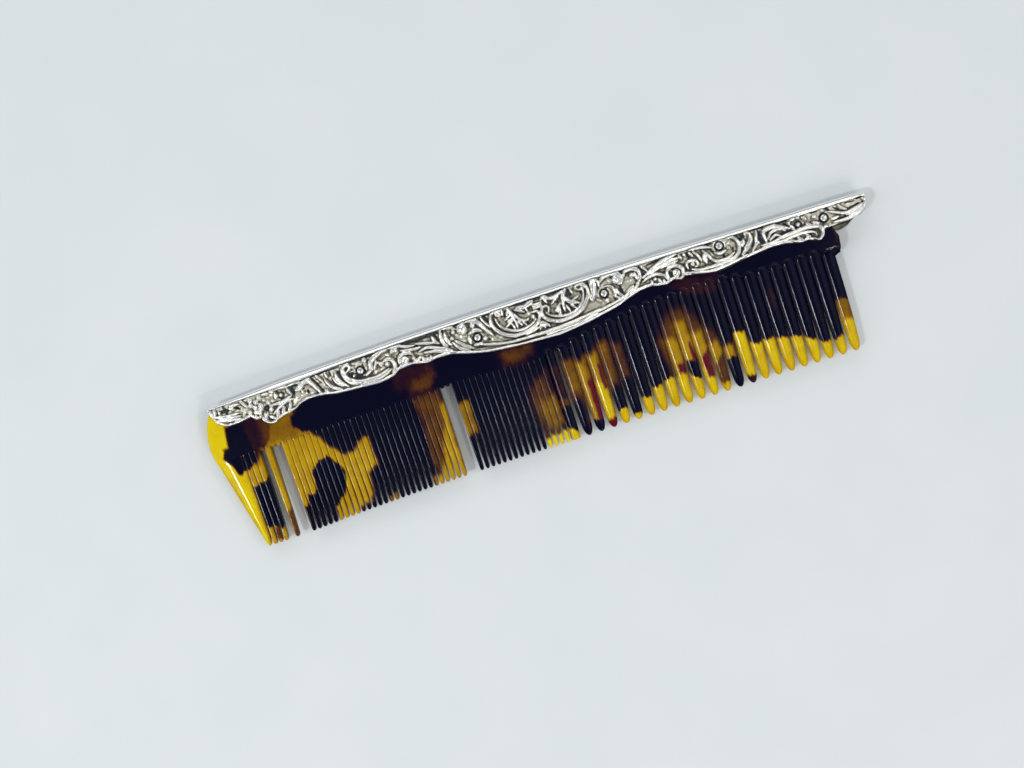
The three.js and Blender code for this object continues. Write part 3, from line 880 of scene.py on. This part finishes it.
def grid_mesh(loops):
    """Points and faces of a sheet that wraps round through equally long lines, closed at both ends."""
    loops = np.array(loops)
    index = np.arange(loops.shape[0] * loops.shape[1]).reshape(loops.shape[:2])
    following = np.roll(index, -1, 0)
    quads = np.stack([index[:, :-1], index[:, 1:], following[:, 1:], following[:, :-1]], -1)
    faces = quads.reshape(-1, 4).tolist()
    faces += [index[:, 0].tolist(), index[::-1, -1].tolist()]
    return loops.reshape(-1, 3), faces


def add_shell(face, relief, side, material):
    """The stamped silver on one face of the mount."""
    points, faces, sunk = shell_mesh(relief, side)
    add_object(f"{face}_stamped", points, faces, material, f"{face}_shell", {"hollow": sunk})


def add_bed(face, relief, side, material):
    """The cement between a shell and the comb."""
    part = slice(*np.searchsorted(relief.columns, BED_ENDS), BED_STRIDE)
    columns = relief.columns[part]
    top = np.maximum(relief.inner()[part] - BED_CLEARANCE, BED_TOP)
    rows = range(BED_MARGIN, RELIEF_ROWS - BED_MARGIN, BED_STRIDE)
    loops = [np.stack([columns, relief.y[part, row], MIDDLE + side * top[:, row]], 1) for row in rows]
    flat = np.full(len(columns), MIDDLE + side * BED_FLOOR)
    loops += [np.stack([columns, relief.y[part, row], flat], 1) for row in reversed(rows)]
    points, faces = grid_mesh(loops)
    add_object(f"{face}_cement", points, faces, material, f"{face}_bed")


def add_strip(material):
    """The plain band that closes the spine: a squared half round, flat towards the comb."""
    columns = np.linspace(*BAND_ENDS, 500)
    inner = at(STRIP_LINE, columns) + BAND_INSET
    outer = np.maximum(at(SPINE_LINE, columns), inner + BAND_THINNEST)
    loops = []
    for angle in np.linspace(0, math.pi, 25):
        y = inner + (outer - inner) * math.sin(angle) ** 0.8
        squared = math.copysign(abs(math.cos(angle)) ** 0.3, math.cos(angle))
        height = BAND_HALF * squared * (1 - 0.2 * math.sin(angle))
        loops.append(np.stack([columns, y, np.full(len(columns), MIDDLE + height)], 1))
    for height in np.linspace(-BAND_HALF, BAND_HALF, 5)[1:-1]:
        loops.append(np.stack([columns, inner, np.full(len(columns), MIDDLE + height)], 1))
    points, faces = grid_mesh(loops)
    values = np.full(len(points), BAND_HOLLOW)
    add_object("spine_band", points, faces, material, "spine_strip", {"hollow": values})


def add_pin(place, x, y, material):
    """A pin head: a low dome with a worn flat, or only the sunk stump of one."""
    sunk = place == 0
    base = MIDDLE + FLOOR_HEIGHT - PIN_SINK
    radius, rise = PIN_STUMP if sunk else PIN_HEAD
    profile = [(radius * out, rise * up) for out, up in PIN_PROFILE] + [(0.02, rise)]
    loops = []
    for turn in np.linspace(0, 2 * math.pi, PIN_SIDES, endpoint=False):
        loops.append([(x + r * math.cos(turn), y + r * math.sin(turn), base + h) for r, h in profile])
    points, faces = grid_mesh(loops)
    values = np.full(len(points), STUMP_HOLLOW if sunk else HEAD_HOLLOW)
    number = place + 1
    add_object(f"pin_head_{number}", points, faces, material, f"pin_{number}", {"hollow": values})


# ---------------------------------------------------------------- comb


def plate_half(y):
    """Half the comb's thickness at y."""
    share = np.clip((TAPER_START - y) / (TAPER_START - TAPER_END), 0, 1)
    return PLATE_HALF + (TIP_HALF - PLATE_HALF) * share


def plate_edge(x):
    """Points down the plate at x, from the hidden upper edge to the tooth root."""
    x = np.asarray(x, float)
    root = at(ROOT_LINE, x)
    top = at(STRIP_LINE, x) - PLATE_INSET
    start = root + ARCH_REACH
    upper = [top + (start - top) * share for share in np.linspace(0, 1, PLATE_ROWS, endpoint=False)]
    lower = [start + (root - start) * share for share in np.linspace(0, 1, ARCH_ROWS + 1)]
    return [(float(x), float(y)) for y in upper + lower]


def strip_edges(tooth, side):
    """Points down one side of a tooth and of its share of the plate."""
    edge = tooth["left"] if side < 0 else tooth["right"]
    points = plate_edge(edge)
    root = points[-1][1]
    for drop, share in ROOT_FILLET:
        x = edge + (tooth["x"] + side * tooth["root"] / 2 - edge) * share
        points.append((x, root - drop))
    length = root - ROOT_FILLET[-1][0] - tooth["tip"]
    nose = min(tooth["nose"], length * 0.8)
    start = points[-1]
    for share in np.linspace(0, 1, tooth["rows"])[1:]:
        half = tooth["root"] / 2 + (tooth["point"] - tooth["root"]) / 2 * share**3
        points.append((tooth["x"] + side * half, start[1] - (length - nose) * share))
    for angle in np.linspace(0, math.pi / 2, 8)[1:]:
        half = tooth["point"] / 2 * max(math.cos(angle), 0.06)
        points.append((tooth["x"] + side * half, tooth["tip"] + nose * (1 - math.sin(angle))))
    return np.array(points)


def tooth_points(tooth, left, right):
    """Rings of points round a tooth: across its upper face, down one flank, back underneath and up."""
    across = np.linspace(-1, 1, tooth["steps"])
    share = (across[None, :, None] + 1) / 2
    face = left[:, None, :] * (1 - share) + right[:, None, :] * share
    y = face[..., 1]
    root = left[PLATE_ROWS + ARCH_ROWS, 1]
    arch = root + tooth["arch"] * (1 - np.abs(across) ** 3)
    scooped = eased((arch[None, :] - y) / tooth["bevel"])
    tip_share = np.clip((y - tooth["tip"]) / tooth["nose"], 0, 1)
    thin = TIP_EDGE + (1 - TIP_EDGE) * np.sqrt(1 - (1 - tip_share) ** 2)
    crown = tooth["scoop"] + tooth["fall"] * np.abs(across) ** tooth["curve"]
    height = (plate_half(y) - scooped * crown) * thin
    upper = np.concatenate([face, (MIDDLE + height)[..., None]], -1)
    lower = np.concatenate([face, (MIDDLE - height)[..., None]], -1)
    flank = []
    for share in (1 / 3, 2 / 3):
        flank.append((upper[:, -1] * (1 - share) + lower[:, -1] * share,
                      upper[:, 0] * share + lower[:, 0] * (1 - share)))
    rights = np.stack([points for points, _ in flank], 1)
    lefts = np.stack([points for _, points in flank], 1)
    return np.concatenate([upper, rights, lower[:, ::-1], lefts], 1)


def tooth_faces(rows, steps, left_open, right_open):
    """Faces between the rings; flanks inside the plate are left out unless they are its free end."""
    ring = 2 * steps + 4
    faces = [list(range(ring))[::-1], list(range((rows - 1) * ring, rows * ring))]
    for row in range(rows - 1):
        in_plate = row < PLATE_ROWS + ARCH_ROWS
        for place in range(ring):
            on_right = steps - 1 <= place < steps + 2
            on_left = place >= 2 * steps + 1
            if in_plate and ((on_right and not right_open) or (on_left and not left_open)):
                continue
            following = (place + 1) % ring
            faces.append([row * ring + place, row * ring + following, (row + 1) * ring + following,
                          (row + 1) * ring + place])
    return faces


def all_teeth():
    """The teeth from left to right, with the edges of the plate's share that each one carries."""
    teeth = []
    for place in range(FINE_POSITIONS):
        x = FINE_FIRST + place * FINE_PITCH
        tip = at(TIP_LINE, x)
        if place in FINE_MISSING:
            tip = at(ROOT_LINE, x) - STUMP
        teeth.append({**FINE, "x": x, "tip": tip})
    teeth.append({**TRANSITION, "tip": at(TIP_LINE, TRANSITION["x"])})
    for place in range(COARSE_TEETH):
        x = COARSE_FIRST + place * COARSE_PITCH
        teeth.append({**COARSE, "x": x, "tip": at(TIP_LINE, x)})
    for tooth, following in zip(teeth, teeth[1:]):
        gap_middle = (tooth["x"] + tooth["root"] / 2 + following["x"] - following["root"] / 2) / 2
        tooth["right"] = following["left"] = gap_middle
    teeth[0]["left"] = teeth[0]["x"] - FINE_PITCH / 2
    teeth[-1]["right"] = BREAK_EDGE[-1][0]
    teeth[-1]["arch"] = LAST_ARCH
    return teeth


def guard_strip(teeth):
    """The wide guard tooth at the left end, as a strip whose left side follows the comb's end."""
    right = strip_edges({**GUARD, "right": teeth[0]["left"]}, 1)
    below = right[:, 1] < GUARD_INNER_EDGE[0][1]
    right[below, 0] = along_y(GUARD_INNER_EDGE, right[below, 1])
    root, tip = ROOT_LINE[0][1], TIP_LINE[0][1]
    left_y = np.interp(right[:, 1], (tip, root, right[0, 1]), (tip, root, GUARD_EDGE[0][1]))
    left = np.stack([along_y(curved(GUARD_EDGE), left_y), left_y], 1)
    return GUARD, left, right


def break_off(edge):
    """Make the right edge of the last strip follow the rough break of the plate."""
    plate = PLATE_ROWS + ARCH_ROWS + 1
    edge[:plate, 1] = np.linspace(BREAK_EDGE[0][1], BREAK_EDGE[-1][1], plate)
    edge[:plate, 0] = along_y(BREAK_EDGE, edge[:plate, 1])
    edge[plate:plate + 2] = BREAK_FOOT


def add_comb(material):
    """The whole comb as strips side by side, each a tooth with its share of the plate."""
    teeth = all_teeth()
    strips = [guard_strip(teeth)]
    for tooth in teeth:
        strips.append((tooth, strip_edges(tooth, -1), strip_edges(tooth, 1)))
    break_off(strips[-1][2])
    points, faces = [], []
    count = 0
    for place, (tooth, left, right) in enumerate(strips):
        rings = tooth_points(tooth, left, right)
        made = tooth_faces(len(rings), tooth["steps"], place == 0, place == len(strips) - 1)
        faces += [[index + count for index in face] for face in made]
        points.append(rings.reshape(-1, 3))
        count += len(points[-1])
    points = np.concatenate(points)
    values = {"amber": amber_field(points), "crimson": pattern(CRIMSON_PATCHES, points)}
    add_object("moulded_comb", points, faces, material, "comb", values)


# Shades of the shell pattern, from opaque navy-black to clear amber.
BLACK = 0.0
DUSK = 0.24
BROWN = 0.42
OLIVE = 0.56
HONEY = 0.74
AMBER = 0.94
FLANK_PAINTED_SHADE = 0.25  # how much darker the flanks are painted: painted shade for light passing through the thick edges


def block(left, right, top, bottom):
    """The outline of an upright rectangle."""
    return ((left, top), (right, top), (right, bottom), (left, bottom))


# Patches of the pattern, each painted over the ones before it: (shade, softness of the edge, outline).
PATCHES = (
    (AMBER, 0.3, ((-3, 1), (4, 1), (5.2, -12), (5.2, -39), (2, -39), (-3, -12))),
    (BROWN, 1, ((11, -5), (15, -5), (14.5, -9), (13, -12.6), (10.3, -13), (10.5, -9))),
    (OLIVE, 0.5, (
        (14, -5), (24, -5), (20.8, -8.2), (20.2, -10.3), (22, -11.8), (24.5, -13.4), (10.5, -13.6),
        (13, -12), (14.5, -8),
    )),
    (HONEY, 0.9, (
        (5, -17.3), (8.4, -16), (9.2, -14.3), (10, -13.2), (24.5, -13.2), (26, -15), (27, -17), (29, -19),
        (30.3, -21), (32, -21.3), (34, -20.6), (35, -19.3), (36.5, -18.5), (38.2, -18.8), (38.5, -26.8),
        (37, -27.2), (35.5, -28), (35.2, -33.4), (34, -34.5), (33.8, -35.4), (30.6, -35.8), (30.4, -39),
        (4.5, -39),
    )),
    (DUSK, 2.4, ((7, -3), (11.5, -3), (12.5, -8), (11, -12.5), (9.6, -14.5), (8, -16), (7, -12))),
    (BLACK, 0.35, (
        (3.2, -5), (2.4, -10.7), (1, -11.3), (0.3, -12.7), (1.2, -14.3), (3, -18.2), (4.5, -17.7),
        (7, -16.7), (8.2, -15.8), (8.4, -12.8), (8, -9), (6, -5),
    )),
    (BLACK, 0.35, (
        (5, -22.4), (7, -22.2), (9, -21.8), (10.4, -20.4), (10.6, -33.8), (9, -34.6), (6.6, -33.5),
        (5.2, -33),
    )),
    (BROWN, 0.4, block(6.8, 8.2, -34.5, -37.6)),
    (BROWN, 0.6, block(11.6, 13, -31, -38.4)),
    (BLACK, 0.35, (
        (16.3, -38.5), (16.4, -31.2), (17.8, -31.2), (18.1, -29), (20, -28.8), (21, -28.3), (21.3, -23.4),
        (22.5, -22.1), (24.3, -21), (26, -20.6), (27.2, -21.6), (28.7, -23.5), (29.4, -26), (29, -28),
        (27.5, -31), (26, -32.4), (24.2, -33.6), (24.1, -38.5),
    )),
    (OLIVE, 0.4, block(38.2, 41, -35, -38)),
    (DUSK, 2.2, ((46, -4), (61, -4), (60, -8), (58.5, -11), (54, -12.5), (49, -11.5), (47.5, -8))),
    (BROWN, 1.6, (
        (52.3, -11.8), (53.8, -9.2), (56.5, -8.2), (60, -8.3), (59.5, -10), (58.3, -11.4), (57, -12.4),
    )),
    (BROWN, 1.5, (
        (51.5, -13), (59.5, -12.6), (59.6, -18), (57, -24), (55, -30), (53, -33.5), (51.3, -30),
        (52.5, -20),
    )),
    (HONEY, 1.2, (
        (58.6, -17), (57.6, -22), (56, -26), (54.8, -30), (53.2, -33.5), (50.6, -34.3), (50.6, -37),
        (59.8, -37), (59.8, -17),
    )),
    (OLIVE, 0.5, block(62.6, 66, -17.6, -26.9)),
    (BROWN, 2.4, ((76, -8), (87, -8.3), (85, -12), (81, -13.5), (77, -13))),
    (BROWN, 2.4, ((81, -20), (87.4, -16), (87.4, -34), (81, -34))),
    (OLIVE, 1, ((82.5, -25), (87.5, -23), (87.5, -31), (83.5, -31.5))),
    (AMBER, 0.4, ((81.5, -33.6), (87.7, -33), (87.7, -37), (81.5, -37))),
    (DUSK, 0.8, block(87.7, 90.3, -16, -25)),
    (BROWN, 0.3, ((87.7, -25), (90.3, -25.3), (90.3, -27.4), (87.7, -27.6))),
    (AMBER, 0.25, ((87.7, -32.2), (90.4, -34.6), (90.4, -37), (87.7, -37))),
    (OLIVE, 1.8, ((90.6, -15.5), (94.2, -15.5), (94, -24.5), (91.4, -27.5), (90.6, -27))),
    (HONEY, 1.8, ((93.8, -17), (97.4, -17), (97.6, -38), (93.6, -38))),
    (BLACK, 0.3, block(93.6, 97.6, -33, -38)),
    (HONEY, 1.8, ((97.2, -16.2), (101.3, -15.8), (101.2, -27), (97.4, -27))),
    (AMBER, 1, block(97.5, 101, -24, -34.2)),
    (OLIVE, 1.8, ((101, -14), (104.4, -13.8), (104.2, -22), (103.8, -26), (101.2, -26))),
    (AMBER, 0.3, block(101, 104.2, -32.2, -37)),
    (BROWN, 1.8, ((104.3, -15), (107.8, -16), (107.6, -25), (104.4, -25.5))),
    (AMBER, 0.3, ((104.4, -34.6), (107.6, -34.4), (107.6, -37), (104.4, -37))),
    (BROWN, 2.4, (
        (115, -19), (117.5, -15), (121, -11.5), (125, -11.5), (128.5, -17), (131.5, -21.5), (128, -25),
        (117, -27),
    )),
    (HONEY, 1.4, (
        (117.6, -30), (117.7, -19.2), (121, -19), (121.2, -15.5), (124.4, -15), (124.7, -19),
        (127.8, -19.4), (128.1, -22.8), (131.1, -22.7), (131.3, -24.6), (134.5, -24.8), (134.5, -30),
    )),
    (AMBER, 0.5, (
        (107.8, -31), (110.9, -31.2), (111.2, -29.3), (114.4, -29.4), (114.6, -28.5), (134.5, -28.5),
        (134.7, -22.4), (138, -22.6), (138.2, -26.2), (141.1, -27), (141.4, -26.3), (144.8, -26.8),
        (148, -27.8), (151.4, -28.3), (152, -29.3), (154.6, -30.4), (155, -31.3), (158, -31.9),
        (161.2, -31.3), (161.4, -28.5), (161.6, -22.6), (165.5, -23), (165.5, -38), (107.8, -38),
    )),
    (OLIVE, 0.6, ((161.6, -22.6), (165.3, -23), (165.3, -28), (162.2, -28))),
    (BLACK, 0.25, ((121.6, -26), (124.5, -26), (124.4, -30.9), (122.8, -30.2), (121.7, -29.6))),
    (BROWN, 0.5, ((128.2, -29), (131.2, -26.5), (131, -34), (128.4, -33.8))),
    (BLACK, 0.3, ((131.3, -28.6), (134.6, -28.3), (134.6, -38), (131.3, -38))),
    (DUSK, 0.25, ((134.6, -34.4), (138, -34.2), (138, -38), (134.6, -38))),
    (DUSK, 2, ((144.8, -14), (148.6, -14.5), (148.2, -21), (145, -21))),
    (DUSK, 2, ((121, -5), (138, -5), (136, -11), (131, -12), (127.5, -11), (123, -7.5))),
    (DUSK, 0.5, ((165.6, -6), (167.5, -6), (167.5, -10.8), (165.8, -10.6))),
)

# Crimson spots over them, in the same form but with a strength in place of the shade.
CRIMSON_PATCHES = (
    (1, 0.3, block(96.1, 97.8, -22.5, -33)),
    (1, 0.25, ((99.7, -19.5), (100.6, -19.5), (100.7, -26), (99.7, -26.5))),
    (1, 0.3, block(97.7, 100.9, -34.3, -37)),
    (1, 0.25, ((119.2, -26), (121.2, -25.5), (121.2, -28.4), (119.3, -28.4))),
    (1, 0.2, ((123.4, -20.8), (124, -21), (124.5, -26), (123.2, -26))),
    (1, 0.3, ((125.6, -25.5), (127.7, -24.5), (127.6, -32), (125.8, -31))),
)


def inside_outline(x, y, outline):
    """How far points lie inside a closed outline; negative outside."""
    nearest = np.full(len(x), FAR)
    odd = np.zeros(len(x), bool)
    for (x0, y0), (x1, y1) in zip(outline, (*outline[1:], outline[0])):
        step_x, step_y = x1 - x0, y1 - y0
        along = np.clip(((x - x0) * step_x + (y - y0) * step_y) / (step_x**2 + step_y**2), 0, 1)
        nearest = np.minimum(nearest, np.hypot(x - x0 - along * step_x, y - y0 - along * step_y))
        if y0 != y1:
            crosses = (y0 > y) != (y1 > y)
            odd ^= crosses & (x < x0 + step_x * (y - y0) / step_y)
    return np.where(odd, nearest, -nearest)


def pattern(patches, points):
    """The level that the patches give each point; two slow waves make their edges uneven."""
    x, y = points[:, 0], points[:, 1]
    wavy_x = x + 0.07 * np.sin(1.3 * y) + 0.04 * np.sin(3.1 * y + 1)
    wavy_y = y + 0.22 * np.sin(2.3 * x + 0.4) + 0.16 * np.sin(5.7 * x)
    shade = np.zeros(len(points))
    for level, softness, outline in patches:
        xs, ys = zip(*outline)
        near = (x > min(xs) - 3) & (x < max(xs) + 3) & (y > min(ys) - 3) & (y < max(ys) + 3)
        cover = eased(0.5 + inside_outline(wavy_x[near], wavy_y[near], outline) / (2 * softness))
        shade[near] += (level - shade[near]) * cover
    return shade


def amber_field(points):
    """The level of the shell pattern, with painted shade that darkens the flanks of the teeth."""
    flank = 1 - np.abs(points[:, 2] - MIDDLE) / plate_half(points[:, 1])
    return pattern(PATCHES, points) * (1 - FLANK_PAINTED_SHADE * flank)


# ---------------------------------------------------------------- setting


def add_table():
    """The plain board that the comb lies on."""
    mesh = bpy.data.meshes.new("table")
    corners = [(x, y, 0) for x, y in block(-TABLE_HALF, TABLE_HALF, -TABLE_HALF, TABLE_HALF)]
    mesh.from_pydata(corners, [], [(0, 1, 2, 3)])
    mesh.materials.append(make_table_material())
    table = bpy.data.objects.new("table", mesh)
    table.location.z = -TABLE_GAP
    bpy.context.scene.collection.objects.link(table)


def add_light(name, place, size, power, colour=(1, 1, 1)):
    """An area light that faces the comb."""
    data = bpy.data.lights.new(name, "AREA")
    data.shape = "RECTANGLE"
    data.size, data.size_y = size
    data.energy = power
    data.color = colour
    lamp = bpy.data.objects.new(name, data)
    lamp.location = place
    lamp.rotation_euler = (-Vector(place)).to_track_quat("-Z", "Y").to_euler()
    bpy.context.scene.collection.objects.link(lamp)


def add_lights():
    """Soft panels all round, and small lamps that draw thin highlights along the teeth."""
    add_light("right_panel", (0.6, -0.06, 0.7), (0.7, 0.8), 1.3)
    add_light("left_panel", (-0.72, 0.0, 0.6), (0.4, 0.6), 1.1)
    add_light("front_panel", (0.1, -0.75, 0.6), (0.6, 0.35), 1.8, (1, 0.98, 0.95))
    add_light("back_panel", (-0.05, 0.8, 0.6), (0.9, 0.4), 1.9)
    add_light("left_lamp", (-0.45, -0.12, 0.75), (0.05, 0.05), 1.7)
    add_light("right_lamp", (0.55, 0.1, 0.7), (0.04, 0.04), 0.35)
    add_light("front_lamp", (0.3, -0.55, 0.7), (0.05, 0.05), 0.9, (1, 0.88, 0.7))
    world = bpy.data.worlds.new("room")
    bpy.context.scene.world = world
    world.use_nodes = True
    background = world.node_tree.nodes["Background"]
    background.inputs["Color"].default_value = (0.8, 0.86, 0.95, 1)
    background.inputs["Strength"].default_value = 0.42
    bpy.context.scene.view_settings.view_transform = "Standard"


def add_camera():
    """Nearly straight down, turned about the view so that the comb climbs to the right."""
    data = bpy.data.cameras.new("camera")
    data.lens = CAMERA_LENS
    data.clip_start = 0.01
    camera = bpy.data.objects.new("camera", data)
    place, target = to_frame([CAMERA_PLACE, CAMERA_TARGET])
    ahead = Vector(target - place).normalized()
    across = (Vector((1, 0, 0)) - ahead * ahead.x).normalized()
    upward = across.cross(ahead)
    roll = math.radians(CAMERA_ROLL)
    right = across * math.cos(roll) - upward * math.sin(roll)
    up = across * math.sin(roll) + upward * math.cos(roll)
    turn = Matrix((right, up, -ahead)).transposed()
    camera.matrix_world = Matrix.Translation(Vector(place)) @ turn.to_4x4()
    bpy.context.scene.collection.objects.link(camera)
    bpy.context.scene.camera = camera


# ---------------------------------------------------------------- assembly

silver = make_silver("stamped_silver", bright=(0.93, 0.92, 0.88), dull=(0.6, 0.57, 0.46))
pin_silver = make_silver("pin_silver", bright=(0.7, 0.69, 0.65), dull=(0.4, 0.38, 0.3))
cement = make_cement()

front_relief = Relief(SCALLOP_LINE, TALLEST)
add_ornament(front_relief)
back_line = sorted([point for point in SCALLOP_LINE if not 165 < point[0] < 174] + list(BACK_LOBE))
back_relief = Relief(back_line, MIDDLE)
add_ornament(back_relief)

sides = (("front", front_relief, 1), ("back", back_relief, -1))
for face, relief, side in sides:
    add_shell(face, relief, side, silver)
for face, relief, side in sides:
    add_bed(face, relief, side, cement)
add_strip(silver)
for place, (x, y) in enumerate(PIN_PLACES):
    add_pin(place, x, y, pin_silver)
add_comb(make_tortoiseshell())

add_table()
add_lights()
add_camera()
